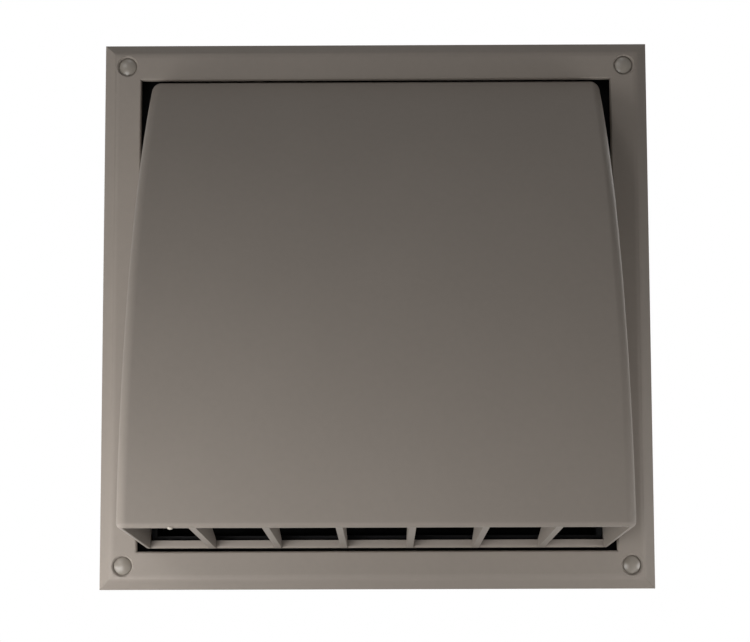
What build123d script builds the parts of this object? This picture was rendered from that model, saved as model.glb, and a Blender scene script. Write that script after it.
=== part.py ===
"""Cowled wall vent for a round duct: face frame, clip-on hood with a ribbed outlet,
duct base with a leaning flap seat, back-draught flap, rod, seals, screws and caps.

The origin is on the duct's axis in the plane of the wall. X is to the right, Z is up,
the hood stands out along -Y and the spigot goes into the wall along +Y. "Out" is the
distance in front of the wall.
"""
from build123d import *

import os
from math import cos, hypot, radians, sin, sqrt

# Duct and spigot
duct_bore = 144.0
spigot_wall = 2.25
spigot_length = 50.0
spigot_lead = 1.2

# Flap, its seat and its hinge
seat_wall = 3.0
seal_edge = 0.3
seal_thickness = 2.0
seal_gap = 0.3
flap_lean = 3.0
flap_overlap = 0.8
flap_thickness = 1.6
flap_back = 1.2
flap_drop = 1.0
flap_corner = 40.0
flap_rim_height = 2.5
flap_rim_wall = 1.4
flap_ribs = 2
hinge_rise = 7.5
hinge_out = 7.0
rod_radius = 1.5
rod_grip = 0.03
rod_running_gap = 0.08
rod_end_gap = 0.3
knuckle_radius = 3.2
knuckle_length = 11.0
knuckle_gap = 0.7
lug_radius = 4.2
lug_thickness = 3.8
lug_gap = 0.7

# Duct base
base_thickness = 3.0
base_corner = 3.0
base_fit = 0.5
collar_wall = 2.0
collar_corner = 2.4
drip_space = 10.75
barb_length = 12.0
barb_depth = 2.6
barb_stand = 1.5
barb_out = 7.5
barb_spread = 45.0
barb_gap = 0.5
gasket_width = 6.0
gasket_depth = 1.5
gasket_inset = 9.5
gasket_corner = 6.0

# Hood
hood_wall = 2.2
hood_slip = 0.25
hood_corner = 3.8
hood_reach = 84.2
hood_front_radius = 256.5
brow_setback = 1.65
brow_radius = 4.6
lip_edge = 1.7
grille_rise = 7.8
rail_reach = 6.5
rail_thickness = 2.2
rail_height = 2.9
rail_edge = 1.0
rib_count = 6
rib_thickness = 2.3
rib_front_height = 16.0

# Face frame
frame_out = 16.0
frame_wall = 2.5
frame_border = 14.1
bevel_run = 4.2
bevel_rise = 4.0
bevel_blend = 4.4
side_gap = 3.65
top_gap = 0.55
bottom_gap = 1.2
opening_edge = 0.9
fin_thickness = 1.5
fin_height = 6.0
fin_inset = 2.0
fins_a_side = 3

# Fixings
fixing_inset = 8.85
recess_radius = 3.45
recess_depth = 2.6
recess_edge = 0.6
boss_radius = 5.0
screw_radius = 1.5
shank_radius = 1.3
screw_head_radius = 3.0
screw_length = 45.0
screw_tip = 5.0
screw_slack = 0.3
drive_span = 3.2
drive_width = 0.9
drive_depth = 1.2
cap_radius = 3.35
cap_side = 1.75
cap_shoulder = 1.3
cap_rise = 1.0

# Sizes that follow, worked outwards from the duct
bore_radius = duct_bore / 2
spigot_radius = bore_radius + spigot_wall
seat_radius = bore_radius + seat_wall
flap_half = seat_radius + flap_overlap
lug_inner = flap_half + lug_gap
collar_inner_half = lug_inner + lug_thickness
collar_half = collar_inner_half + collar_wall
hood_inner_half = collar_half + hood_slip
hood_half = hood_inner_half + hood_wall
opening_half = hood_half + side_gap

hinge_up = bore_radius + hinge_rise
collar_inner_top = hinge_up + knuckle_radius + knuckle_gap
collar_inner_bottom = -(bore_radius + drip_space)
collar_top = collar_inner_top + collar_wall
collar_bottom = collar_inner_bottom - collar_wall
collar_up = (collar_top + collar_bottom) / 2
hood_top = collar_top + hood_slip + hood_wall
hood_bottom = collar_bottom - hood_slip - hood_wall
opening_top = hood_top + top_gap
opening_bottom = hood_bottom - bottom_gap
opening_up = (opening_top + opening_bottom) / 2
opening_width = 2 * opening_half
opening_height = opening_top - opening_bottom
frame_width = opening_width + 2 * frame_border
frame_height = opening_height + 2 * frame_border

edge_out = frame_out - bevel_rise
pocket_out = frame_out - frame_wall
brow_out = frame_out - brow_setback
lip_out = frame_out + hood_reach
lip_up = hood_bottom + grille_rise
rail_out = frame_out + rail_reach
rail_back = rail_out - rail_thickness
collar_out = rail_back - hood_slip

fixing_x = frame_width / 2 - fixing_inset
fixing_z = frame_height / 2 - fixing_inset
fixings = {
    "top_left": (-fixing_x, opening_up + fixing_z),
    "top_right": (fixing_x, opening_up + fixing_z),
    "bottom_left": (-fixing_x, opening_up - fixing_z),
    "bottom_right": (fixing_x, opening_up - fixing_z),
}
screw_hole_radius = screw_radius + screw_slack
head_out = frame_out - recess_depth
face_planes = [Plane((x, -frame_out, z), z_dir=(0, -1, 0)) for x, z in fixings.values()]
head_planes = [Plane((x, -head_out, z), z_dir=(0, -1, 0)) for x, z in fixings.values()]
base_planes = [Plane((x, -base_thickness, z), z_dir=(0, -1, 0)) for x, z in fixings.values()]

# Seen from the side, "out" runs to the right and "up" runs up
side_view = Plane((0, 0, 0), x_dir=(0, -1, 0), z_dir=(-1, 0, 0))
# The flap leans outwards at its foot, so that its weight closes it
flap_tilt = radians(flap_lean)
flap_view = Plane((0, -hinge_out, hinge_up), x_dir=(1, 0, 0), z_dir=(0, -cos(flap_tilt), sin(flap_tilt)))
flap_plane = flap_view.offset(flap_back)
seal_plane = flap_view.offset(flap_back - seal_gap)
seat_plane = flap_view.offset(flap_back - seal_gap - seal_thickness)
flap_length = (hinge_up + seat_radius) / cos(flap_tilt) + flap_drop
seat_blank = hinge_out + flap_length * sin(flap_tilt) + seal_thickness


def arc_centre(start, end, radius):
    """Centre of an arc that bulges up and out, from its inner end to its outer one."""
    run = end[0] - start[0]
    fall = end[1] - start[1]
    chord = hypot(run, fall)
    back = sqrt(radius**2 - (chord / 2) ** 2)
    return (start[0] + end[0]) / 2 + fall / chord * back, (start[1] + end[1]) / 2 - run / chord * back


front_centre = arc_centre((brow_out, hood_top), (lip_out, lip_up), hood_front_radius)
hood_inner_radius = hood_front_radius - hood_wall


def front_point(up, radius):
    """Point of the hood's front arc, outer or inner, at a height."""
    return front_centre[0] + sqrt(radius**2 - (up - front_centre[1]) ** 2), up


# Face frame: one hollow section with a bevelled edge, mitred round the opening
section_top = opening_up + frame_height / 2
bevel_length = hypot(bevel_run, bevel_rise)
# The hollow slopes one wall's thickness behind the bevel
pocket_edge_out = edge_out + frame_wall * (bevel_rise - bevel_length) / bevel_run
pocket_slope_top = section_top - frame_wall - (pocket_out - pocket_edge_out) * bevel_run / bevel_rise
pocket_width = frame_width - 2 * frame_wall
pocket_height = frame_height - 2 * frame_wall
fin_width = pocket_width / 2 - opening_half - fin_inset
fin_step_x = 2 * fixing_x / (fins_a_side + 1)
fin_step_z = 2 * fixing_z / (fins_a_side + 1)

with BuildPart() as face_frame:
    with BuildLine(Plane.XZ) as frame_path:
        with Locations((0, opening_up)):
            Polyline(
                (0, frame_height / 2),
                (frame_width / 2, frame_height / 2),
                (frame_width / 2, -frame_height / 2),
                (-frame_width / 2, -frame_height / 2),
                (-frame_width / 2, frame_height / 2),
                (0, frame_height / 2),
            )
    with BuildSketch(side_view):
        with BuildLine():
            Polyline(
                (0, section_top),
                (edge_out, section_top),
                (frame_out, section_top - bevel_run),
                (frame_out, opening_top),
                (pocket_out, opening_top),
                (pocket_out, pocket_slope_top),
                (pocket_edge_out, section_top - frame_wall),
                (0, section_top - frame_wall),
                (0, section_top),
            )
        make_face()
        fillet(vertices().sort_by_distance((frame_out, section_top - bevel_run))[0], radius=bevel_blend)
        fillet(vertices().sort_by_distance((frame_out, opening_top))[0], radius=opening_edge)
    sweep(path=frame_path.wire(), transition=Transition.RIGHT)
    with BuildSketch(Plane.XZ.offset(base_thickness)):
        with Locations(*fixings.values()):
            Circle(boss_radius)
    extrude(amount=pocket_out - base_thickness)
    with BuildSketch(Plane.XZ.offset(pocket_out - fin_height)):
        with Locations((0, opening_up)):
            with GridLocations(pocket_width - fin_width, fin_step_z, 2, fins_a_side):
                Rectangle(fin_width, fin_thickness)
            with GridLocations(fin_step_x, pocket_height - fin_width, fins_a_side, 2):
                Rectangle(fin_thickness, fin_width)
    extrude(amount=fin_height)
    with Locations(*face_planes):
        Hole(radius=recess_radius, depth=recess_depth)
    face_circles = faces().sort_by(Axis.Y)[0].edges().filter_by(GeomType.CIRCLE)
    chamfer(face_circles, length=recess_edge)
    with Locations(*head_planes):
        CounterSinkHole(
            radius=screw_hole_radius,
            counter_sink_radius=recess_radius,
            depth=head_out,
            counter_sink_angle=90,
        )

# Hood: outer shell, hollow, clip windows and the ribs across its outlet
rib_pitch = (2 * hood_inner_half + rib_thickness) / (rib_count + 1)
outlet_slope = (lip_up - hood_bottom) / (lip_out - rail_out)
barb_ups = (collar_up - barb_spread, collar_up + barb_spread)
# The ribs end in the middle of the rail, and in the front wall where the lip's round starts
rail_mid_out = rail_out - rail_thickness / 2
rib_end_radius = hood_front_radius - lip_edge
rib_end_out = front_point(lip_up, rib_end_radius)[0]

with BuildPart() as hood:
    with BuildSketch(side_view):
        with BuildLine():
            ThreePointArc(
                (lip_out, lip_up),
                front_point((lip_up + hood_top) / 2, hood_front_radius),
                (brow_out, hood_top),
            )
            Polyline(
                (brow_out, hood_top),
                (base_thickness, hood_top),
                (base_thickness, hood_bottom),
                (rail_out, hood_bottom),
                (lip_out, lip_up),
            )
        make_face()
        fillet(vertices().sort_by_distance((brow_out, hood_top))[0], radius=brow_radius)
    extrude(amount=hood_half, both=True)
    long_edges = edges().filter_by(lambda edge: abs(abs(edge.center().X) - hood_half) < hood_slip)
    low_edges = long_edges.filter_by(lambda edge: edge.center().Z < lip_up)
    back_edges = long_edges.filter_by(Axis.Z)
    fillet(long_edges - low_edges - back_edges, radius=hood_corner)
    # One round runs along the skirt's foot on both sides and across the lip
    foot_edges = faces().filter_by(lambda face: face.normal_at().Z < -0.9).edges()
    fillet(
        foot_edges.filter_by(lambda edge: abs(edge.center().X) > lip_edge or edge.center().Y < -rail_out - lip_edge),
        radius=lip_edge,
    )
    # Hollow, open at the back and between the rail and the lip
    with BuildSketch(side_view):
        with BuildLine():
            ThreePointArc(
                front_point(hood_bottom, hood_inner_radius),
                front_point((hood_bottom + hood_top) / 2, hood_inner_radius),
                front_point(hood_top - hood_wall, hood_inner_radius),
            )
            Polyline(
                front_point(hood_top - hood_wall, hood_inner_radius),
                (0, hood_top - hood_wall),
                (0, hood_bottom + hood_wall),
                (rail_back, hood_bottom + hood_wall),
                (rail_back, hood_bottom + rail_height),
                (rail_out, hood_bottom + rail_height),
                (rail_out, hood_bottom + rail_edge),
            )
            TangentArc((rail_out, hood_bottom + rail_edge), (rail_out - rail_edge, hood_bottom), tangent=(0, -1))
            Line((rail_out - rail_edge, hood_bottom), front_point(hood_bottom, hood_inner_radius))
        make_face()
    extrude(amount=hood_inner_half, both=True, mode=Mode.SUBTRACT)
    for up in barb_ups:
        with BuildSketch(Plane.XY.offset(up - barb_length / 2 - barb_gap)):
            with Locations((0, -barb_out)):
                Rectangle(2 * hood_half, barb_depth + 2 * barb_gap)
        extrude(amount=barb_length + 2 * barb_gap, mode=Mode.SUBTRACT)
    with BuildSketch(side_view.offset(-rib_thickness / 2)):
        with BuildLine():
            Polyline(
                (rail_mid_out, hood_bottom),
                (rail_out, hood_bottom),
                (rib_end_out, lip_up - (lip_out - rib_end_out) * outlet_slope),
                front_point(lip_up + rib_front_height, rib_end_radius),
                (rail_mid_out, hood_bottom + rail_height),
                (rail_mid_out, hood_bottom),
            )
        make_face()
    rib = extrude(amount=rib_thickness, mode=Mode.PRIVATE)
    with GridLocations(rib_pitch, 0, rib_count, 1):
        add(rib)

# Raised seat for the flap, cut to its lean
with BuildPart() as flap_seat:
    with BuildSketch(Plane.XZ):
        Circle(seat_radius)
        Circle(bore_radius, mode=Mode.SUBTRACT)
    extrude(amount=seat_blank)
    split(bisect_by=seat_plane, keep=Keep.BOTTOM)

# Duct base: plate on the wall, spigot into it, collar for the hood, seat and hinge lugs
base_width = pocket_width - 2 * base_fit
base_height = pocket_height - 2 * base_fit
collar_height = collar_top - collar_bottom
collar_inner_height = collar_inner_top - collar_inner_bottom
collar_front_radius = hood_inner_radius - hood_slip
gasket_size = (base_width - 2 * gasket_inset, base_height - 2 * gasket_inset)

with BuildPart() as duct_base:
    with BuildSketch(Plane.XZ):
        with Locations((0, opening_up)):
            RectangleRounded(base_width, base_height, base_corner)
    extrude(amount=base_thickness)
    with BuildSketch(Plane.XZ):
        with Locations((0, collar_up)):
            RectangleRounded(2 * collar_half, collar_height, collar_corner)
    extrude(amount=collar_out)
    with BuildSketch(Plane.XZ.offset(base_thickness)):
        with Locations((0, collar_up)):
            Rectangle(2 * collar_inner_half, collar_inner_height)
    extrude(amount=collar_out - base_thickness, mode=Mode.SUBTRACT)
    # The collar's top is cut back to run behind the hood's front wall
    with BuildSketch(side_view):
        with BuildLine():
            ThreePointArc(
                front_point(0, collar_front_radius),
                front_point(collar_inner_top / 2, collar_front_radius),
                front_point(hood_top, collar_front_radius),
            )
            Polyline(
                front_point(hood_top, collar_front_radius),
                (lip_out, hood_top),
                (lip_out, 0),
                front_point(0, collar_front_radius),
            )
        make_face()
    extrude(amount=collar_half, both=True, mode=Mode.SUBTRACT)
    add(flap_seat.part)
    with BuildSketch(Plane.XZ):
        Circle(spigot_radius)
    extrude(amount=-spigot_length)
    chamfer(faces().sort_by(Axis.Y)[-1].edges(), length=spigot_lead)
    with BuildSketch(Plane.XZ.offset(-spigot_length)):
        Circle(bore_radius)
    extrude(amount=spigot_length + base_thickness, mode=Mode.SUBTRACT)
    # Lugs for the hinge rod, one on each side wall of the collar
    for side in (-1, 1):
        with BuildSketch(side_view.offset(side * lug_inner)):
            with Locations((hinge_out, hinge_up)):
                Circle(lug_radius)
            with BuildLine():
                Polyline(
                    (0, collar_inner_top),
                    (hinge_out, collar_inner_top),
                    (hinge_out, hinge_up - lug_radius),
                    (0, hinge_up - lug_radius),
                    (0, collar_inner_top),
                )
            make_face()
        extrude(amount=side * (lug_thickness + collar_wall / 2))
    with BuildSketch(Plane.YZ.offset(-collar_inner_half)):
        with Locations((-hinge_out, hinge_up)):
            Circle(rod_radius + rod_grip)
    extrude(amount=collar_inner_half + collar_half, mode=Mode.SUBTRACT)
    # Barbs that catch the hood's windows
    for up in barb_ups:
        with BuildSketch(Plane.XY.offset(up - barb_length / 2)):
            with BuildLine():
                Polyline(
                    (collar_half, -barb_out - barb_depth / 2),
                    (collar_half + barb_stand, -barb_out + barb_depth / 2),
                    (collar_half, -barb_out + barb_depth / 2),
                    (collar_half, -barb_out - barb_depth / 2),
                )
            make_face()
            mirror(about=Plane.YZ)
        extrude(amount=barb_length)
    with Locations(*base_planes):
        Hole(radius=screw_hole_radius, depth=base_thickness)
    with BuildSketch(Plane.XZ):
        with Locations((0, opening_up)):
            RectangleRounded(*gasket_size, gasket_corner)
            offset(amount=-gasket_width, kind=Kind.INTERSECTION, mode=Mode.SUBTRACT)
    extrude(amount=gasket_depth, mode=Mode.SUBTRACT)

# Foam gasket between the duct base and the wall
with BuildPart() as wall_gasket:
    with BuildSketch(Plane.XZ):
        with Locations((0, opening_up)):
            RectangleRounded(*gasket_size, gasket_corner)
            offset(amount=-gasket_width, kind=Kind.INTERSECTION, mode=Mode.SUBTRACT)
    extrude(amount=gasket_depth)

# Foam ring on the leaning seat
with BuildPart() as flap_seal:
    with BuildSketch(Plane.XZ):
        Circle(seat_radius - seal_edge)
        Circle(bore_radius + seal_edge, mode=Mode.SUBTRACT)
    extrude(amount=seat_blank)
    split(bisect_by=seat_plane, keep=Keep.TOP)
    split(bisect_by=seal_plane, keep=Keep.BOTTOM)

# Flap: a plate with a stiffening rim and ribs, hung from two knuckles
with BuildPart() as backdraught_flap:
    with BuildSketch(flap_plane) as flap_outline:
        with Locations((0, -flap_length / 2)):
            Rectangle(2 * flap_half, flap_length)
        fillet(vertices().group_by(Axis.Y)[0], radius=flap_corner)
    extrude(amount=flap_thickness)
    with BuildSketch(flap_plane.offset(flap_thickness)):
        add(flap_outline.sketch_local)
        offset(amount=-flap_rim_wall, mode=Mode.SUBTRACT)
        with Locations((0, -flap_length / 2)):
            with GridLocations(0, flap_length / (flap_ribs + 1), 1, flap_ribs):
                Rectangle(2 * flap_half - flap_rim_wall, flap_rim_wall)
    extrude(amount=flap_rim_height)
    for side in (-1, 1):
        with BuildSketch(side_view.offset(side * flap_half)):
            with Locations((hinge_out, hinge_up)):
                Circle(knuckle_radius)
        extrude(amount=-side * knuckle_length)
    with BuildSketch(side_view):
        with Locations((hinge_out, hinge_up)):
            Circle(rod_radius + rod_running_gap)
    extrude(amount=flap_half, both=True, mode=Mode.SUBTRACT)

# Steel rod that the flap swings on
with BuildPart() as hinge_rod:
    with BuildSketch(Plane.YZ.offset(rod_end_gap - collar_inner_half)):
        with Locations((-hinge_out, hinge_up)):
            Circle(rod_radius)
    extrude(amount=collar_inner_half + collar_half - 2 * rod_end_gap)

# Countersunk wall screw, drawn on the Y axis and set in each corner; its threaded
# part starts at the wall
screw_end = screw_length - head_out
cone_end = screw_head_radius - shank_radius - head_out

with BuildPart() as screw:
    with BuildSketch(Plane.XY):
        with BuildLine():
            Polyline(
                (0, -head_out),
                (screw_head_radius, -head_out),
                (shank_radius, cone_end),
                (shank_radius, 0),
                (screw_radius, 0),
                (screw_radius, screw_end - screw_tip),
                (0, screw_end),
                (0, -head_out),
            )
        make_face()
    revolve(axis=Axis.Y)
    with BuildSketch(Plane.XZ.offset(head_out)):
        Rectangle(drive_span, drive_width)
        Rectangle(drive_width, drive_span)
    extrude(amount=-drive_depth, mode=Mode.SUBTRACT)

with BuildPart() as wall_screws:
    with Locations(*[(x, 0, z) for x, z in fixings.values()]):
        add(screw.part)

# Low cap with a sloping shoulder over each screw's head
cap_rim_out = head_out + cap_side

with BuildPart() as cap:
    with BuildSketch(Plane.XY):
        with BuildLine():
            Polyline(
                (cap_radius, -cap_rim_out),
                (cap_radius - cap_shoulder, -cap_rim_out - cap_rise),
                (0, -cap_rim_out - cap_rise),
                (0, -head_out),
                (cap_radius, -head_out),
                (cap_radius, -cap_rim_out),
            )
        make_face()
    revolve(axis=Axis.Y)

pieces = {
    "face_frame": face_frame,
    "hood": hood,
    "duct_base": duct_base,
    "wall_gasket": wall_gasket,
    "flap_seal": flap_seal,
    "backdraught_flap": backdraught_flap,
    "hinge_rod": hinge_rod,
    "wall_screws": wall_screws,
}
for corner, (x, z) in fixings.items():
    with BuildPart() as corner_cap:
        with Locations((x, 0, z)):
            add(cap.part)
    pieces[f"screw_cap_{corner}"] = corner_cap

os.makedirs("parts", exist_ok=True)
for name, piece in pieces.items():
    piece.part.label = name
    export_step(piece.part, f"parts/{name}.step")
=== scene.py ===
"""Cowled wall vent: finishes, moulded shells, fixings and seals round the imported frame.

Lengths are in metres in the part's own frame: X to the right, Z up, the wall in the plane
Y = 0 and the hood towards -Y. "Out" is the distance in front of the wall.
"""

import logging
from dataclasses import dataclass, field
from enum import Enum
from math import cos, pi, radians, sin, tau
from typing import Any

import bmesh
import bpy
from mathutils import Euler, Matrix, Vector

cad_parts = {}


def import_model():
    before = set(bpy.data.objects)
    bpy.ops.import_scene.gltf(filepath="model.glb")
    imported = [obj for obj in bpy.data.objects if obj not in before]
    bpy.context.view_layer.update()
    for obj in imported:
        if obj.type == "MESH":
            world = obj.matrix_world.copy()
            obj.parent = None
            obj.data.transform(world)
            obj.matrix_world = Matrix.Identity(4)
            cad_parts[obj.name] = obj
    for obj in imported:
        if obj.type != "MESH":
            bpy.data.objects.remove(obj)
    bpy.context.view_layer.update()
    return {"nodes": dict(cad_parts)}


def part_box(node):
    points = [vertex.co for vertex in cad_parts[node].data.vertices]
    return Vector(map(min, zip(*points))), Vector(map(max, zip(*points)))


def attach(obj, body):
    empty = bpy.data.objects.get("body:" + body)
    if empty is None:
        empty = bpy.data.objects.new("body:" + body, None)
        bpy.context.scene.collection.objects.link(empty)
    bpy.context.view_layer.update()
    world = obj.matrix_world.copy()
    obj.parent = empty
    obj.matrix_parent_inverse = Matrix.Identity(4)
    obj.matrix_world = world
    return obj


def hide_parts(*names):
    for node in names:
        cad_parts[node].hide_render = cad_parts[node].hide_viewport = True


logging.basicConfig(level=logging.INFO, format="%(name)s: %(message)s")
log = logging.getLogger("wall_vent")

MM = 0.001
HOUSING_BODY = "housing"
FLAP_BODY = "flap"

Colour = tuple[float, float, float]
Point = tuple[float, float, float]

WHITE = (1.0, 1.0, 1.0, 1.0)

# A colour Mix node's sockets share their names with its float and vector ones, so they go by number.
MIX_FACTOR, MIX_FIRST, MIX_SECOND, MIX_RESULT = 0, 6, 7, 2


class Slot(Enum):
    """The record's material slots."""

    HOUSING = "housing"
    BASE = "base"
    FLAP = "flap"
    STEEL = "steel"
    FOAM = "foam"


def linear(red: int, green: int, blue: int) -> Colour:
    """Turns a colour as a screen shows it, 0 to 255, into linear light.

    Args:
        red: Red, 0 to 255.
        green: Green, 0 to 255.
        blue: Blue, 0 to 255.

    Returns:
        The same colour for a shader socket.
    """

    def decode(value: int) -> float:
        """Turns one channel into linear light."""
        share = value / 255
        return share / 12.92 if share <= 0.04045 else ((share + 0.055) / 1.055) ** 2.4

    return decode(red), decode(green), decode(blue)


# Shader node groups


class Graph:
    """A node tree that is filled one node at a time."""

    def __init__(self, tree: bpy.types.NodeTree) -> None:
        """Keeps the tree that the nodes go into."""
        self.tree = tree

    def node(
        self, kind: str, settings: dict[str, Any] | None = None, **inputs: Any
    ) -> bpy.types.Node:
        """Adds a node and fills its sockets.

        Args:
            kind: The node's type in Blender.
            settings: Properties of the node itself.
            inputs: Socket names, with spaces as underscores, and a value or an output socket each.

        Returns:
            The new node.
        """
        node = self.tree.nodes.new(kind)
        for name, value in (settings or {}).items():
            setattr(node, name, value)
        for name, value in inputs.items():
            self.feed(node.inputs[name.replace("_", " ")], value)
        return node

    def feed(self, socket: bpy.types.NodeSocket, value: Any) -> None:
        """Links an output socket to an input, or sets the input's own value.

        Args:
            socket: The input.
            value: An output socket, or the value itself.
        """
        if isinstance(value, bpy.types.NodeSocket):
            self.tree.links.new(value, socket)
        else:
            socket.default_value = value

    def math(self, operation: str, first: Any, second: Any = 0.0) -> bpy.types.NodeSocket:
        """Adds a Math node.

        Args:
            operation: What it does, by its name in Blender.
            first: Its first number, as a value or an output socket.
            second: Its second number, in the same way.

        Returns:
            Its result.
        """
        node = self.tree.nodes.new("ShaderNodeMath")
        node.operation = operation
        self.feed(node.inputs[0], first)
        self.feed(node.inputs[1], second)
        return node.outputs[0]


def new_group(
    name: str, kind: str, inputs: dict[str, tuple[str, Any]], outputs: dict[str, str]
) -> Graph:
    """Makes a node group with named sockets and its Group Input and Output nodes.

    Args:
        name: The group's name.
        kind: "ShaderNodeTree" or "GeometryNodeTree".
        inputs: Each input's socket type and default value.
        outputs: Each output's socket type.

    Returns:
        The group as a graph, with the two end nodes named "in" and "out".
    """
    tree = bpy.data.node_groups.new(name, kind)
    for label, (socket_type, default) in inputs.items():
        socket = tree.interface.new_socket(label, in_out="INPUT", socket_type=socket_type)
        if default is not None:
            socket.default_value = default
    for label, socket_type in outputs.items():
        tree.interface.new_socket(label, in_out="OUTPUT", socket_type=socket_type)
    tree.nodes.new("NodeGroupInput").name = "in"
    tree.nodes.new("NodeGroupOutput").name = "out"
    return Graph(tree)


@dataclass(frozen=True)
class MouldGrain:
    """Fine spark-eroded mould texture with a faint unevenness of tone.

    Attributes:
        name: The shader group's name.
        pit_smoothness: How far one pit runs into the next.
        speckle_fineness: How much finer the speckle is than the pits.
        speckle_layers: Layers of noise in the speckle.
        speckle_share: Height of the speckle against the pits'.
        clouds: Scale of the broad unevenness.
        clouds_layers: Layers of noise in it.
        clouds_roughness: How strongly its finer layers show.
        mottle: Scale of the fine unevenness.
        mottle_layers: Layers of noise in it.
        mottle_share: Strength of the fine unevenness against the broad one's.
    """

    name: str = "mould_grain"
    pit_smoothness: float = 0.6
    speckle_fineness: float = 1.7
    speckle_layers: float = 3.0
    speckle_share: float = 0.6
    clouds: float = 22.0
    clouds_layers: float = 4.0
    clouds_roughness: float = 0.6
    mottle: float = 420.0
    mottle_layers: float = 2.0
    mottle_share: float = 0.7

    def group(self) -> bpy.types.NodeTree:
        """Builds the shader group, or gives the one that was built before.

        Returns:
            A group that turns a position into a grain height, a tone and a polish mask.
        """
        ready = bpy.data.node_groups.get(self.name)
        if ready:
            return ready
        graph = new_group(
            self.name,
            "ShaderNodeTree",
            {
                "Position": ("NodeSocketVector", None),
                "Grain": ("NodeSocketFloat", 0.5 * MM),
                "Unevenness": ("NodeSocketFloat", 0.5),
            },
            {"Height": "NodeSocketFloat", "Tone": "NodeSocketFloat", "Polish": "NodeSocketFloat"},
        )
        start, end = graph.tree.nodes["in"], graph.tree.nodes["out"]
        where = start.outputs["Position"]
        density = graph.math("DIVIDE", 1.0, start.outputs["Grain"])
        fineness = graph.math("MULTIPLY", density, self.speckle_fineness)
        pits = graph.node(
            "ShaderNodeTexVoronoi",
            {"feature": "SMOOTH_F1"},
            Vector=where,
            Scale=density,
            Smoothness=self.pit_smoothness,
        )
        speckle = graph.node(
            "ShaderNodeTexNoise", Vector=where, Scale=fineness, Detail=self.speckle_layers
        )
        clouds = graph.node(
            "ShaderNodeTexNoise",
            Vector=where,
            Scale=self.clouds,
            Detail=self.clouds_layers,
            Roughness=self.clouds_roughness,
        )
        mottle = graph.node(
            "ShaderNodeTexNoise", Vector=where, Scale=self.mottle, Detail=self.mottle_layers
        )
        raised = graph.math("MULTIPLY", speckle.outputs["Fac"], self.speckle_share)
        fine = graph.math("MULTIPLY", mottle.outputs["Fac"], self.mottle_share)
        spread = graph.math("ADD", clouds.outputs["Fac"], fine)
        middle = (1 + self.mottle_share) / 2
        centred = graph.math("SUBTRACT", spread, middle)
        centred = graph.math("MULTIPLY", centred, start.outputs["Unevenness"])
        graph.feed(end.inputs["Height"], graph.math("ADD", pits.outputs["Distance"], raised))
        graph.feed(end.inputs["Tone"], graph.math("ADD", centred, 1.0))
        graph.feed(end.inputs["Polish"], clouds.outputs["Fac"])
        return graph.tree


@dataclass(frozen=True)
class Finish:
    """A surface finish: colour, gloss and the texture that carries them.

    Attributes:
        name: The material's name.
        colour: Base colour in linear light.
        roughness: Roughness where the surface is least polished.
        polish: How much less rough the polished patches are.
        grain: Size of one grain of the texture.
        depth: Height of the grain.
        unevenness: How far the tone strays from the base colour.
        metallic: 1 for bare metal.
        specular: Strength of the plain reflection at the surface.
    """

    name: str
    colour: Colour
    roughness: float
    polish: float = 0.08
    grain: float = 0.55 * MM
    depth: float = 0.012 * MM
    unevenness: float = 0.08
    metallic: float = 0.0
    specular: float = 0.2

    def material(self) -> bpy.types.Material:
        """Builds the material, or gives the one that was built before.

        Returns:
            The finished material.
        """
        ready = bpy.data.materials.get(self.name)
        if ready:
            return ready
        material = bpy.data.materials.new(self.name)
        material.use_nodes = True
        graph = Graph(material.node_tree)
        shader = material.node_tree.nodes["Principled BSDF"]
        where = graph.node("ShaderNodeTexCoord").outputs["Object"]
        grain = self.texture(graph, where)
        tinted = graph.node("ShaderNodeMix", {"data_type": "RGBA", "blend_type": "MULTIPLY"})
        graph.feed(tinted.inputs[MIX_FACTOR], 1.0)
        graph.feed(tinted.inputs[MIX_FIRST], (*self.colour, 1.0))
        graph.feed(tinted.inputs[MIX_SECOND], grain.outputs["Tone"])
        graph.feed(shader.inputs["Base Color"], tinted.outputs[MIX_RESULT])
        worn = graph.math("MULTIPLY", grain.outputs["Polish"], self.polish)
        graph.feed(shader.inputs["Roughness"], graph.math("SUBTRACT", self.roughness, worn))
        graph.feed(shader.inputs["Metallic"], self.metallic)
        graph.feed(shader.inputs["Specular IOR Level"], self.specular)
        height = grain.outputs["Height"]
        bump = graph.node("ShaderNodeBump", Height=height, Strength=1.0, Distance=self.depth)
        graph.feed(shader.inputs["Normal"], bump.outputs["Normal"])
        return material

    def texture(self, graph: Graph, where: bpy.types.NodeSocket) -> bpy.types.Node:
        """Places the shared grain group in the material.

        Args:
            graph: The material's graph.
            where: The position that the texture follows.

        Returns:
            The group node.
        """
        node = graph.tree.nodes.new("ShaderNodeGroup")
        node.node_tree = MouldGrain().group()
        graph.feed(node.inputs["Position"], where)
        graph.feed(node.inputs["Grain"], self.grain)
        graph.feed(node.inputs["Unevenness"], self.unevenness)
        return node


@dataclass(frozen=True)
class DrawnFinish(Finish):
    """A metal finish whose texture is stretched along the direction in which it was drawn.

    Attributes:
        stretch: How the position is scaled before the texture reads it.
    """

    metallic: float = 1.0
    specular: float = 0.5
    stretch: Point = (1.0, 0.08, 1.0)

    def texture(self, graph: Graph, where: bpy.types.NodeSocket) -> bpy.types.Node:
        """Places the grain group behind a stretch of the position.

        Args:
            graph: The material's graph.
            where: The position that the texture follows.

        Returns:
            The group node.
        """
        drawn = graph.node("ShaderNodeMapping", Vector=where, Scale=self.stretch)
        return super().texture(graph, drawn.outputs["Vector"])


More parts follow.
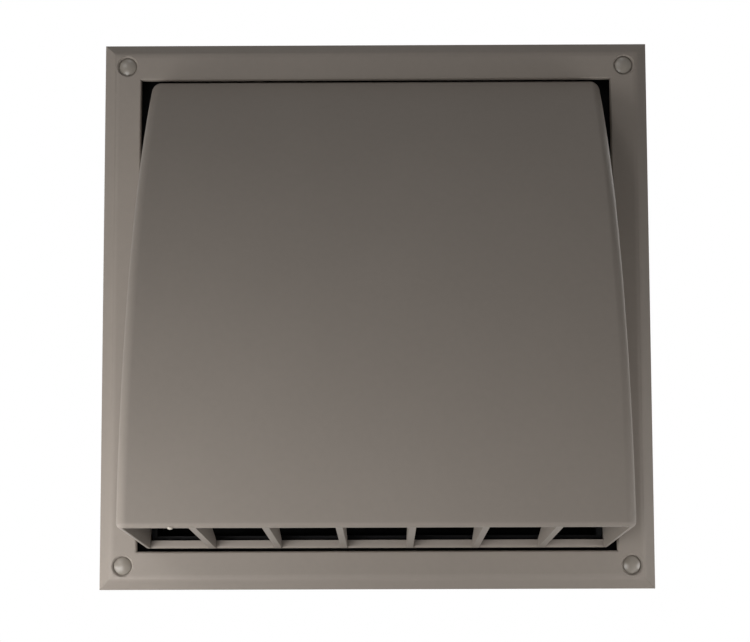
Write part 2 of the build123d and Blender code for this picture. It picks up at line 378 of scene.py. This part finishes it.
TAUPE = Finish("taupe_plastic", linear(134, 126, 118), roughness=0.62)
POLISHED_TAUPE = Finish(
    "polished_taupe_plastic",
    linear(124, 117, 108),
    roughness=0.31,
    polish=0.04,
    depth=0.003 * MM,
    specular=0.42,
)
# Paler than the hood's taupe: the nub under the lip carries a painted highlight in its colour, a
# bright speck of light.
HIGHLIGHT_TAUPE = Finish(
    "taupe_painted_highlight", linear(176, 169, 158), roughness=0.55, depth=0.03 * MM
)
# Black plastic of the duct base, set darker than black plastic really is: its colour also carries
# painted shade for the dark inside of the hood.
BLACK_AND_PAINTED_SHADE = Finish(
    "black_plastic_and_painted_shade", linear(16, 16, 17), roughness=0.6, grain=0.8 * MM, specular=0.12
)
CHARCOAL = Finish(
    "charcoal_plastic", linear(50, 50, 53), roughness=0.5, grain=0.7 * MM, specular=0.2
)
STEEL = DrawnFinish(
    "stainless_steel", linear(176, 176, 178), roughness=0.34, grain=0.4 * MM, depth=0.004 * MM
)
ROD_STEEL = DrawnFinish(
    "drawn_steel_rod",
    linear(170, 171, 174),
    roughness=0.3,
    grain=0.3 * MM,
    depth=0.003 * MM,
    stretch=(0.05, 1.0, 1.0),
)
FOAM = Finish(
    "skinned_foam",
    linear(52, 52, 54),
    roughness=0.92,
    polish=0.04,
    grain=1.1 * MM,
    depth=0.12 * MM,
    unevenness=0.3,
)
PALE_FLOOR = Finish("pale_floor", linear(236, 236, 234), roughness=0.8, unevenness=0.0)


# Mesh helpers


def place(
    mesh: bpy.types.Mesh, name: str, finish: Finish, body: str
) -> bpy.types.Object:
    """Puts a finished mesh in the scene as a piece that rides on a body.

    Args:
        mesh: The mesh, with its place in its vertices.
        name: The piece's name.
        finish: Its finish.
        body: The body that it rides on.

    Returns:
        The new piece.
    """
    piece = bpy.data.objects.new(name, mesh)
    bpy.context.scene.collection.objects.link(piece)
    mesh.materials.clear()
    mesh.materials.append(finish.material())
    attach(piece, body)
    log.info("%s: %d faces on %s", name, len(mesh.polygons), body)
    return piece


def revolved(
    profile: list[tuple[float, float]], centre: Vector, steps: int = 72
) -> bpy.types.Mesh:
    """Turns a profile about an axis along Y.

    Args:
        profile: Radius and out of each point, from one pole to the other.
        centre: The axis, at the wall.
        steps: Faces round the axis.

    Returns:
        A closed mesh.
    """
    body = bmesh.new()
    rings = []
    for radius, out in profile:
        if radius == 0:
            rings.append([body.verts.new(centre + Vector((0, -out, 0)))])
            continue
        ring = []
        for step in range(steps):
            turn = tau * step / steps
            spoke = Vector((radius * cos(turn), -out, radius * sin(turn)))
            ring.append(body.verts.new(centre + spoke))
        rings.append(ring)
    for near, far in zip(rings, rings[1:]):
        for step in range(steps):
            after = (step + 1) % steps
            corners = [
                near[step % len(near)], near[after % len(near)],
                far[after % len(far)], far[step % len(far)],
            ]
            body.faces.new(dict.fromkeys(corners))
    return finished(body)


def finished(body: bmesh.types.BMesh, crease: float = radians(28)) -> bpy.types.Mesh:
    """Closes a bmesh: normals out, smooth faces, and sharp edges where it turns hard.

    Args:
        body: The bmesh, freed here.
        crease: Angle from which an edge stays sharp.

    Returns:
        The mesh.
    """
    bmesh.ops.recalc_face_normals(body, faces=body.faces)
    for face in body.faces:
        face.smooth = True
    for edge in body.edges:
        edge.smooth = len(edge.link_faces) == 2 and edge.calc_face_angle(pi) < crease
    mesh = bpy.data.meshes.new("finished")
    body.to_mesh(mesh)
    body.free()
    return mesh


@dataclass
class MouldedShell:
    """A moulded piece whose CAD shape is right, dressed with softened edges.

    Attributes:
        node: The CAD node that it stands for.
        finish: Its finish.
        slot: The record's material slot; not used.
        body: The body that it rides on.
        edge: Radius that the mould leaves on an edge that was drawn sharp.
        edge_steps: Faces across that radius.
        sharp: Angle from which an edge gets it.
        weld: Distance within which the loose triangles' corners are one point.
        flatness: Angle below which two faces are one flat face.
        flat_weight: How strongly a large face holds its own shading.
    """

    node: str
    finish: Finish
    slot: Slot
    body: str = HOUSING_BODY
    edge: float = 0.22 * MM
    edge_steps: int = 2
    sharp: float = radians(35)
    weld: float = 0.004 * MM
    flatness: float = radians(0.4)
    flat_weight: int = 80

    def mesh(self, nodes: dict[str, bpy.types.Object]) -> bpy.types.Mesh:
        """Copies the node's mesh, welds it and joins the triangles of flat faces.

        Args:
            nodes: The frame's CAD nodes.

        Returns:
            The welded mesh.
        """
        body = bmesh.new()
        body.from_mesh(nodes[self.node].data)
        bmesh.ops.remove_doubles(body, verts=body.verts, dist=self.weld)
        bmesh.ops.dissolve_degenerate(body, edges=body.edges, dist=self.weld)
        bmesh.ops.dissolve_limit(
            body,
            angle_limit=self.flatness,
            verts=body.verts,
            edges=body.edges,
            use_dissolve_boundaries=False,
        )
        return finished(body)

    def build(self, nodes: dict[str, bpy.types.Object]) -> bpy.types.Object:
        """Makes the piece and hides the node.

        Args:
            nodes: The frame's CAD nodes.

        Returns:
            The piece.
        """
        name = f"{self.node}_moulded"
        piece = place(self.mesh(nodes), name, self.finish, self.body)
        bevel = piece.modifiers.new("moulded edges", "BEVEL")
        bevel.width = self.edge
        bevel.segments = self.edge_steps
        bevel.limit_method = "ANGLE"
        bevel.angle_limit = self.sharp
        bevel.harden_normals = True
        bevel.use_clamp_overlap = True
        normals = piece.modifiers.new("flat faces stay flat", "WEIGHTED_NORMAL")
        normals.keep_sharp = True
        normals.weight = self.flat_weight
        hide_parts(self.node)
        return piece


@dataclass
class ScrewCap:
    """A domed cap over a screw's head.

    Attributes:
        node: The CAD node that it stands for.
        rim: Width of the small round between its side and its dome.
        rise: Height of the dome.
        dome_steps: Rings from the dome's edge to its crown.
    """

    node: str
    rim: float = 0.1 * MM
    rise: float = 1.0 * MM
    dome_steps: int = 12

    def build(self) -> bpy.types.Object:
        """Makes the cap from its node's box.

        Returns:
            The piece.
        """
        low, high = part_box(self.node)
        centre = Vector(((low.x + high.x) / 2, 0, (low.z + high.z) / 2))
        radius = (high.x - low.x) / 2
        back, crown = -high.y, -low.y
        shoulder = crown - self.rise
        span = radius - self.rim
        dome = (span**2 + self.rise**2) / (2 * self.rise)
        profile = [
            (0.0, back), (span, back), (radius, back + self.rim), (radius, shoulder - self.rim),
        ]
        for step in range(self.dome_steps + 1):
            reach = span * (1 - step / self.dome_steps)
            profile.append((reach, crown - dome + (dome**2 - reach**2) ** 0.5))
        mesh = revolved(profile, centre)
        piece = place(mesh, f"{self.node}_dome", POLISHED_TAUPE, HOUSING_BODY)
        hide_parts(self.node)
        return piece


# Geometry Nodes


def geometry_graph(name: str, inputs: dict[str, float]) -> Graph:
    """Makes a Geometry Nodes group whose inputs are lengths or counts.

    Args:
        name: The group's name.
        inputs: Each input's name and default.

    Returns:
        The group as a graph.
    """
    sockets: dict[str, tuple[str, Any]] = {"Geometry": ("NodeSocketGeometry", None)}
    for label, value in inputs.items():
        sockets[label] = ("NodeSocketInt" if isinstance(value, int) else "NodeSocketFloat", value)
    sockets["Material"] = ("NodeSocketMaterial", None)
    return new_group(name, "GeometryNodeTree", sockets, {"Geometry": "NodeSocketGeometry"})


def close_graph(graph: Graph, geometry: bpy.types.NodeSocket) -> None:
    """Ends a Geometry Nodes tree in Realize Instances and Set Material.

    Args:
        graph: The tree.
        geometry: What it has made so far.
    """
    solid = graph.node("GeometryNodeRealizeInstances", Geometry=geometry)
    dressed = graph.node("GeometryNodeSetMaterial", Geometry=solid.outputs[0])
    graph.feed(dressed.inputs["Material"], graph.tree.nodes["in"].outputs["Material"])
    graph.feed(graph.tree.nodes["out"].inputs["Geometry"], dressed.outputs[0])


def grown(graph: Graph, name: str, values: dict[str, Any]) -> bpy.types.Mesh:
    """Runs a Geometry Nodes tree with its inputs set and gives the plain mesh.

    Args:
        graph: The tree.
        name: Name of the object that holds it for a moment.
        values: Input names and values.

    Returns:
        The mesh that the tree made.
    """
    holder = bpy.data.objects.new(name, bpy.data.meshes.new(name))
    bpy.context.scene.collection.objects.link(holder)
    modifier = holder.modifiers.new("tree", "NODES")
    modifier.node_group = graph.tree
    for item in graph.tree.interface.items_tree:
        if item.item_type == "SOCKET" and item.in_out == "INPUT" and item.name in values:
            modifier[item.identifier] = values[item.name]
    seen = holder.evaluated_get(bpy.context.evaluated_depsgraph_get())
    mesh = bpy.data.meshes.new_from_object(seen)
    bpy.data.objects.remove(holder)
    return mesh


@dataclass
class WallScrews:
    """Four countersunk screws, threaded from the wall inwards.

    Attributes:
        node: The CAD node that they stand for.
        head: Radius of the head.
        shank: Radius of the plain shank.
        core: Radius at the thread's root.
        thread: Radius at the thread's crest.
        pitch: The thread's pitch.
        tip: Length of the point.
        slot_span: Length of the cross slot's arms.
        slot_width: Their width.
        slot_depth: Their depth.
        sides: Faces round a screw.
        bluntness: Radius of the point's end against the core's.
        thread_steps: Points in one turn of the thread.
        ridge_share: Half width of the thread's ridge against its height.
        ridge_sides: Faces round the ridge.
        crease: Angle from which an edge stays sharp.
    """

    node: str = "wall_screws"
    head: float = 3.0 * MM
    shank: float = 1.3 * MM
    core: float = 1.12 * MM
    thread: float = 1.5 * MM
    pitch: float = 1.35 * MM
    tip: float = 5.0 * MM
    slot_span: float = 3.2 * MM
    slot_width: float = 0.9 * MM
    slot_depth: float = 1.2 * MM
    sides: int = 40
    bluntness: float = 0.08
    thread_steps: int = 26
    ridge_share: float = 0.62
    ridge_sides: int = 4
    crease: float = radians(32)

    def sizes(self) -> dict[str, float]:
        """Gathers the tree's inputs from the node's box and the screw's own sizes.

        Returns:
            Each input's name and value.
        """
        low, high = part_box(self.node)
        return {
            "Spacing": high.x - low.x - 2 * self.head,
            "Head Out": -low.y,
            "Length": high.y - low.y,
            "Head": self.head,
            "Shank": self.shank,
            "Core": self.core,
            "Thread": self.thread,
            "Pitch": self.pitch,
            "Tip": self.tip,
            "Slot Span": self.slot_span,
            "Slot Width": self.slot_width,
            "Slot Depth": self.slot_depth,
        }

    def tree(self) -> Graph:
        """Builds the tree: a screw along +Z, set on the four points of a grid and laid along +Y.

        Returns:
            The tree.
        """
        graph = geometry_graph("wall_screw_set", self.sizes())
        size = graph.tree.nodes["in"].outputs
        taper = graph.math("SUBTRACT", size["Head"], size["Shank"])
        inside = graph.math("SUBTRACT", size["Length"], size["Head Out"])
        core_length = graph.math("SUBTRACT", inside, size["Tip"])
        plain = graph.math("SUBTRACT", size["Head Out"], taper)
        front = graph.math("MULTIPLY", size["Head Out"], -1.0)
        neck = graph.math("SUBTRACT", taper, size["Head Out"])
        blunt = graph.math("MULTIPLY", size["Core"], self.bluntness)
        head = self.round_bar(graph, size["Head"], size["Shank"], taper, front)
        head = self.cross_slot(graph, head)
        shank = self.round_bar(graph, size["Shank"], size["Shank"], plain, neck)
        core = self.round_bar(graph, size["Core"], size["Core"], core_length, 0.0)
        point = self.round_bar(graph, size["Core"], blunt, size["Tip"], core_length)
        joined = graph.tree.nodes.new("GeometryNodeJoinGeometry")
        for part in (head, shank, core, point, self.helix(graph, core_length)):
            graph.tree.links.new(part, joined.inputs[0])
        grid = graph.node(
            "GeometryNodeMeshGrid",
            Size_X=size["Spacing"],
            Size_Y=size["Spacing"],
            Vertices_X=2,
            Vertices_Y=2,
        )
        spread = graph.node(
            "GeometryNodeInstanceOnPoints", Points=grid.outputs["Mesh"], Instance=joined.outputs[0]
        )
        laid = graph.node(
            "GeometryNodeTransform", Geometry=spread.outputs[0], Rotation=(-pi / 2, 0.0, 0.0)
        )
        close_graph(graph, laid.outputs[0])
        return graph

    def round_bar(
        self, graph: Graph, near: Any, far: Any, length: Any, start: Any
    ) -> bpy.types.NodeSocket:
        """Adds a cone or cylinder along +Z.

        Args:
            graph: The tree.
            near: Radius at its start.
            far: Radius at its end.
            length: Its length.
            start: Where it starts on Z.

        Returns:
            Its mesh.
        """
        bar = graph.node(
            "GeometryNodeMeshCone",
            Vertices=self.sides,
            Radius_Top=far,
            Radius_Bottom=near,
            Depth=length,
        )
        shift = graph.node("ShaderNodeCombineXYZ", Z=start)
        moved = graph.node(
            "GeometryNodeTransform", Geometry=bar.outputs["Mesh"], Translation=shift.outputs[0]
        )
        return moved.outputs[0]

    def cross_slot(self, graph: Graph, head: bpy.types.NodeSocket) -> bpy.types.NodeSocket:
        """Cuts the driver's cross into the head.

        Args:
            graph: The tree.
            head: The head's mesh.

        Returns:
            The head with its cross.
        """
        size = graph.tree.nodes["in"].outputs
        deep = graph.math("MULTIPLY", size["Slot Depth"], 2.0)
        face = graph.node("ShaderNodeCombineXYZ", Z=graph.math("MULTIPLY", size["Head Out"], -1.0))
        cut = graph.tree.nodes.new("GeometryNodeMeshBoolean")
        cut.operation = "DIFFERENCE"
        graph.feed(cut.inputs["Mesh 1"], head)
        for across, along in (("Slot Span", "Slot Width"), ("Slot Width", "Slot Span")):
            arm_size = graph.node("ShaderNodeCombineXYZ", X=size[across], Y=size[along], Z=deep)
            arm = graph.node("GeometryNodeMeshCube", Size=arm_size.outputs[0])
            moved = graph.node(
                "GeometryNodeTransform", Geometry=arm.outputs["Mesh"], Translation=face.outputs[0]
            )
            graph.tree.links.new(moved.outputs[0], cut.inputs["Mesh 2"])
        return cut.outputs["Mesh"]

    def helix(self, graph: Graph, length: bpy.types.NodeSocket) -> bpy.types.NodeSocket:
        """Winds the thread's ridge round the core.

        Args:
            graph: The tree.
            length: Length of the threaded core.

        Returns:
            The ridge's mesh.
        """
        size = graph.tree.nodes["in"].outputs
        middle = graph.math("MULTIPLY", graph.math("ADD", size["Core"], size["Thread"]), 0.5)
        height = graph.math("SUBTRACT", size["Thread"], size["Core"])
        ridge = graph.math("MULTIPLY", height, self.ridge_share)
        run = graph.math("SUBTRACT", length, size["Pitch"])
        turns = graph.math("DIVIDE", run, size["Pitch"])
        spiral = graph.node(
            "GeometryNodeCurveSpiral",
            Resolution=self.thread_steps,
            Rotations=turns,
            Start_Radius=middle,
            End_Radius=middle,
            Height=run,
        )
        lift = graph.node("ShaderNodeCombineXYZ", Z=graph.math("MULTIPLY", size["Pitch"], 0.5))
        raised = graph.node(
            "GeometryNodeTransform", Geometry=spiral.outputs[0], Translation=lift.outputs[0]
        )
        profile = graph.node(
            "GeometryNodeCurvePrimitiveCircle", Resolution=self.ridge_sides, Radius=ridge
        )
        swept = graph.node(
            "GeometryNodeCurveToMesh",
            Curve=raised.outputs[0],
            Profile_Curve=profile.outputs["Curve"],
            Fill_Caps=True,
        )
        return swept.outputs[0]

    def build(self) -> bpy.types.Object:
        """Grows the four screws between the node's own limits.

        Returns:
            The piece.
        """
        mesh = grown(self.tree(), "screws", {**self.sizes(), "Material": STEEL.material()})
        body = bmesh.new()
        body.from_mesh(mesh)
        shaded = finished(body, self.crease)
        piece = place(shaded, "wall_screws_threaded", STEEL, HOUSING_BODY)
        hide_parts(self.node)
        return piece


@dataclass
class FoamStrip:
    """A foam strip laid round a path, with rounded long edges.

    Attributes:
        node: The CAD node that it stands for.
        width: The strip's width.
        thickness: Its thickness.
        corner: Radius of the path's corners. One past half the path's width makes a ring.
        lean: How far the strip's plane leans out at its foot.
        edge: Radius of its long edges.
        path_steps: Points in each corner of the path.
        edge_steps: Points in each long edge's round.
        weld: Distance within which points are one.
    """

    node: str
    width: float
    thickness: float
    corner: float
    lean: float = 0.0
    edge: float = 0.5 * MM
    path_steps: int = 48
    edge_steps: int = 4
    weld: float = 0.01 * MM

    def tree(self, across: float) -> Graph:
        """Builds the tree: a rounded path in the XY plane, swept with a rounded profile.

        Args:
            across: Width of the path, from one side's middle to the other's.

        Returns:
            The tree.
        """
        graph = geometry_graph(
            f"{self.node}_strip",
            {
                "Across": across,
                "Corner": self.corner,
                "Width": self.width,
                "Thickness": self.thickness,
                "Edge": self.edge,
            },
        )
        size = graph.tree.nodes["in"].outputs
        path = self.rounded(
            graph, size["Across"], size["Across"], size["Corner"], self.path_steps
        )
        profile = self.rounded(
            graph, size["Width"], size["Thickness"], size["Edge"], self.edge_steps
        )
        swept = graph.node("GeometryNodeCurveToMesh", Curve=path, Profile_Curve=profile)
        close_graph(graph, swept.outputs[0])
        return graph

    def rounded(
        self, graph: Graph, width: Any, height: Any, radius: Any, steps: int
    ) -> bpy.types.NodeSocket:
        """Adds a rectangle with round corners.

        Args:
            graph: The tree.
            width: Its width.
            height: Its height.
            radius: Radius of its corners.
            steps: Points in each corner.

        Returns:
            The closed curve.
        """
        outline = graph.node(
            "GeometryNodeCurvePrimitiveQuadrilateral", Width=width, Height=height
        )
        fillet = graph.node(
            "GeometryNodeFilletCurve",
            {"mode": "POLY"},
            Curve=outline.outputs[0],
            Radius=radius,
            Limit_Radius=True,
            Count=steps,
        )
        return fillet.outputs[0]

    def build(self) -> bpy.types.Object:
        """Grows the strip and lays it in its groove or on its seat.

        Returns:
            The piece.
        """
        low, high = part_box(self.node)
        middle = (low + high) / 2
        across = high.x - low.x - self.width
        mesh = grown(self.tree(across), self.node, {"Material": FOAM.material()})
        mesh.transform(Matrix.Translation(middle) @ Matrix.Rotation(pi / 2 + self.lean, 4, "X"))
        body = bmesh.new()
        body.from_mesh(mesh)
        bmesh.ops.remove_doubles(body, verts=body.verts, dist=self.weld)
        piece = place(finished(body), f"{self.node}_foam", FOAM, HOUSING_BODY)
        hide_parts(self.node)
        return piece


@dataclass
class HingeRod:
    """The rod that the flap swings on, with rounded ends.

    Attributes:
        node: The CAD node that it stands for.
        end_round: Radius of its ends' edges.
        sides: Faces round it.
    """

    node: str = "hinge_rod"
    end_round: float = 0.35 * MM
    sides: int = 48

    def build(self) -> bpy.types.Object:
        """Makes the rod from its node's box.

        Returns:
            The piece.
        """
        low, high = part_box(self.node)
        radius = (high.z - low.z) / 2
        length = high.x - low.x
        flat = radius - self.end_round
        profile = [
            (0.0, 0.0), (flat, 0.0), (radius, self.end_round),
            (radius, length - self.end_round), (flat, length), (0.0, length),
        ]
        mesh = revolved(profile, Vector(), self.sides)
        start = Matrix.Translation((low.x, (low.y + high.y) / 2, (low.z + high.z) / 2))
        mesh.transform(start @ Matrix.Rotation(pi / 2, 4, "Z"))
        piece = place(mesh, "hinge_rod_round", ROD_STEEL, HOUSING_BODY)
        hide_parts(self.node)
        return piece


@dataclass
class GateMark:
    """The small nub that the mould's gate leaves under the hood's lip.

    Attributes:
        right: Its place along the lip.
        radius: Its radius.
        drop: How far it stands below the lip.
        inset: How far behind the lip's front it stands.
        lip_up: Height of the lip's lower edge.
        around: Faces round it.
        down: Faces from its front to its back.
    """

    right: float = -66.8 * MM
    radius: float = 0.95 * MM
    drop: float = 0.6 * MM
    inset: float = 1.25 * MM
    lip_up: float = -79.5 * MM
    around: int = 24
    down: int = 16

    def build(self) -> bpy.types.Object:
        """Makes the nub under the lip.

        Returns:
            The piece.
        """
        low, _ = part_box("hood")
        turns = [pi * step / self.down for step in range(1, self.down)]
        middle = [(self.radius * sin(turn), -self.radius * cos(turn)) for turn in turns]
        profile = [(0.0, -self.radius), *middle, (0.0, self.radius)]
        mesh = revolved(profile, Vector(), self.around)
        spot = Matrix.Translation((self.right, low.y + self.inset, self.lip_up))
        mesh.transform(spot @ Matrix.Diagonal((1, 1, self.drop / self.radius, 1)))
        # The nub's pale colour is a painted highlight.
        return place(mesh, "lip_gate_mark", HIGHLIGHT_TAUPE, HOUSING_BODY)


# Camera and light


@dataclass(frozen=True)
class Lamp:
    """A round soft lamp aimed at the part's centre.

    Attributes:
        name: Its name.
        spot: Its place.
        width: Its diameter.
        level: Light that it gives at the part's centre, square to it; the power follows its distance.
    """

    name: str
    spot: Point
    width: float
    level: float

    def build(self) -> None:
        """Makes the lamp."""
        data = bpy.data.lights.new(self.name, "AREA")
        data.shape = "DISK"
        data.size = self.width
        data.energy = self.level * Vector(self.spot).length_squared
        lamp = bpy.data.objects.new(self.name, data)
        lamp.location = self.spot
        lamp.rotation_euler = (-Vector(self.spot)).to_track_quat("-Z", "Y").to_euler()
        bpy.context.scene.collection.objects.link(lamp)


LAMPS = (
    Lamp("key_low_left", (-0.2, -0.35, -0.2), 0.25, 5.0),
    Lamp("wall_wash_left", (-0.22, -0.1, -0.15), 0.15, 3.7),
    Lamp("wall_wash_right", (0.25, -0.1, -0.12), 0.12, 2.45),
    Lamp("fill_low_right", (0.2, -0.2, -0.25), 0.2, 0.9),
    Lamp("under_light", (0.0, -0.25, -0.5), 0.3, 0.4),
    Lamp("high_window", (-0.6, -1.0, 0.5), 0.5, 1.7),
    Lamp("top_light", (0.0, -0.5, 1.0), 0.5, 1.0),
    Lamp("back_light", (0.45, 0.8, 0.55), 0.5, 4.0),
)


@dataclass
class Studio:
    """Camera, lamps, floor and white surround.

    Attributes:
        eye: The camera's place.
        tilt: The camera's turn about X, Y and Z, in degrees.
        focal_px: Focal length in pixels of the photograph.
        photo_width: Width of the photograph in pixels.
        sensor: Width of the sensor in millimetres.
        near_clip: Distance from which the camera sees.
        floor_drop: Height of the floor below the part's centre.
        floor_reach: Half the floor's width.
        floor_glow: How pale the floor is to the eye before any lamp.
        ambient: Strength of the white surround as diffuse light.
    """

    eye: Point = (0.0028, -0.7157, -0.0778)
    tilt: Point = (96.07, 0.173, 0.287)
    focal_px: float = 1890.0
    photo_width: float = 750.0
    sensor: float = 36.0
    near_clip: float = 0.01
    floor_drop: float = 2.2
    floor_reach: float = 9.0
    floor_glow: float = 0.9
    ambient: float = 0.01

    def camera(self) -> None:
        """Makes the camera that the photograph was taken from."""
        data = bpy.data.cameras.new("camera")
        data.sensor_width = self.sensor
        data.lens = self.sensor * self.focal_px / self.photo_width
        data.clip_start = self.near_clip
        camera = bpy.data.objects.new("camera", data)
        camera.location = self.eye
        camera.rotation_euler = Euler([radians(angle) for angle in self.tilt])
        bpy.context.scene.collection.objects.link(camera)
        bpy.context.scene.camera = camera

    def lights(self) -> None:
        """Makes the soft lamps."""
        for lamp in LAMPS:
            lamp.build()

    def surround(self) -> None:
        """Makes a world that is white to the eye and in reflections, and dim as a lamp."""
        world = bpy.data.worlds.new("surround")
        bpy.context.scene.world = world
        world.use_nodes = True
        graph = Graph(world.node_tree)
        background = world.node_tree.nodes["Background"]
        strength = graph.node(
            "ShaderNodeMix",
            {"data_type": "FLOAT"},
            Factor=self.seen(graph),
            A=self.ambient,
            B=1.0,
        )
        graph.feed(background.inputs["Strength"], strength.outputs[0])
        graph.feed(background.inputs["Color"], WHITE)

    def seen(self, graph: Graph) -> bpy.types.NodeSocket:
        """Tells the rays that show a surface to the eye from those that it lights others with.

        Args:
            graph: The material's or the world's graph.

        Returns:
            1 for the camera's rays and for those in gloss and glass, otherwise 0.
        """
        path = graph.node("ShaderNodeLightPath")
        seen = graph.math("MAXIMUM", path.outputs["Is Camera Ray"], path.outputs["Is Glossy Ray"])
        return graph.math("MAXIMUM", seen, path.outputs["Is Transmission Ray"])

    def floor(self) -> None:
        """Makes the pale floor far below the part."""
        body = bmesh.new()
        bmesh.ops.create_grid(body, x_segments=1, y_segments=1, size=self.floor_reach)
        bmesh.ops.translate(body, verts=body.verts, vec=(0, 0, -self.floor_drop))
        mesh = bpy.data.meshes.new("floor")
        body.to_mesh(mesh)
        body.free()
        floor = bpy.data.objects.new("floor", mesh)
        bpy.context.scene.collection.objects.link(floor)
        mesh.materials.append(self.floor_material())

    def floor_material(self) -> bpy.types.Material:
        """Makes a floor that stays pale to the eye and in reflections.

        Returns:
            The floor's material.
        """
        material = PALE_FLOOR.material()
        graph = Graph(material.node_tree)
        shader = material.node_tree.nodes["Principled BSDF"]
        glow = graph.math("MULTIPLY", self.seen(graph), self.floor_glow)
        graph.feed(shader.inputs["Emission Color"], WHITE)
        graph.feed(shader.inputs["Emission Strength"], glow)
        return material

    def build(self) -> None:
        """Makes everything that isn't part of the object."""
        self.camera()
        self.lights()
        self.surround()
        self.floor()
        bpy.context.scene.view_settings.view_transform = "Standard"


@dataclass
class WallVent:
    """The whole vent, sub-assembly by sub-assembly."""

    shells: list[MouldedShell] = field(
        default_factory=lambda: [
            MouldedShell("face_frame", TAUPE, Slot.HOUSING),
            MouldedShell("hood", TAUPE, Slot.HOUSING),
            # The duct base's near-black colour is black plastic plus painted shade inside the hood.
            MouldedShell("duct_base", BLACK_AND_PAINTED_SHADE, Slot.BASE),
            MouldedShell("backdraught_flap", CHARCOAL, Slot.FLAP, body=FLAP_BODY),
        ]
    )
    seals: list[FoamStrip] = field(
        default_factory=lambda: [
            FoamStrip("wall_gasket", width=6 * MM, thickness=1.5 * MM, corner=3 * MM),
            FoamStrip(
                "flap_seal", width=2.4 * MM, thickness=2 * MM, corner=1.0, lean=-radians(3)
            ),
        ]
    )

    def build(self, nodes: dict[str, bpy.types.Object]) -> None:
        """Makes every piece in order.

        Args:
            nodes: The frame's CAD nodes.
        """
        for shell in self.shells:
            shell.build(nodes)
        for name in sorted(nodes):
            if name.startswith("screw_cap"):
                ScrewCap(name).build()
        WallScrews().build()
        HingeRod().build()
        for seal in self.seals:
            seal.build()
        GateMark().build()


def main() -> None:
    """Loads the frame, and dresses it."""
    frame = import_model()
    WallVent().build(frame["nodes"])
    Studio().build()


if __name__ == "__main__":
    main()
